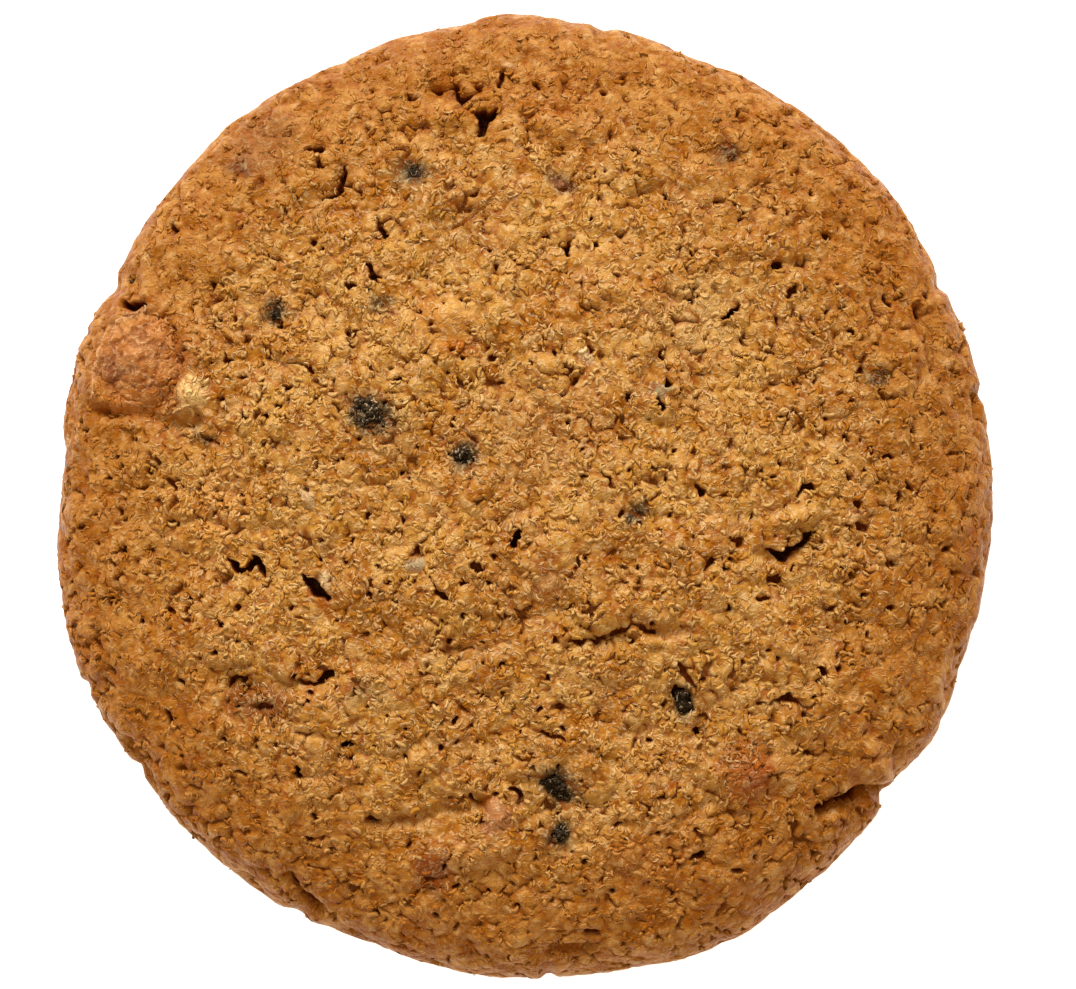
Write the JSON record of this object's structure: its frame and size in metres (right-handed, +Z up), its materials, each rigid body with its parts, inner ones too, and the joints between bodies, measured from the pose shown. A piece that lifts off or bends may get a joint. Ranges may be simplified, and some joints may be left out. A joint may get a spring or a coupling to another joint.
{
  "type": "oatmeal cranberry cookie",
  "caption": "Round, thick drop-baked cookie with a gently domed craggy top, rounded rim, flat underside, and dried cranberry pieces set in its top.",
  "frame": {"origin": "on the flat underside, under the middle of the cookie's outline", "axes": "+Z up through the thickness, out of the top; +Y along the outline's slightly longer way; +X to the right as the top is looked at with +Y away"},
  "size_m": [0.0941, 0.0967, 0.0171],
  "materials": {
    "crumb": "matte baked crumb, slightly oily, darker in its pores and towards the rim",
    "crusted_fruit": "dried cranberry under a thin baked skin, satin",
    "dark_fruit": "wrinkled dark dried fruit, satin"
  },
  "bodies": {
    "root": {"cookie_dough": "crumb", "cranberry_rim": "crusted_fruit", "cranberry_west": "dark_fruit", "cranberry_centre": "dark_fruit", "cranberry_south": "dark_fruit", "cranberry_south_small": "dark_fruit", "cranberry_north": "dark_fruit", "cranberry_north_west": "dark_fruit", "cranberry_south_east": "dark_fruit", "cranberry_east": "dark_fruit", "cranberry_far_west": "dark_fruit", "cranberry_skin": "dark_fruit"}
  },
  "joints": []
}
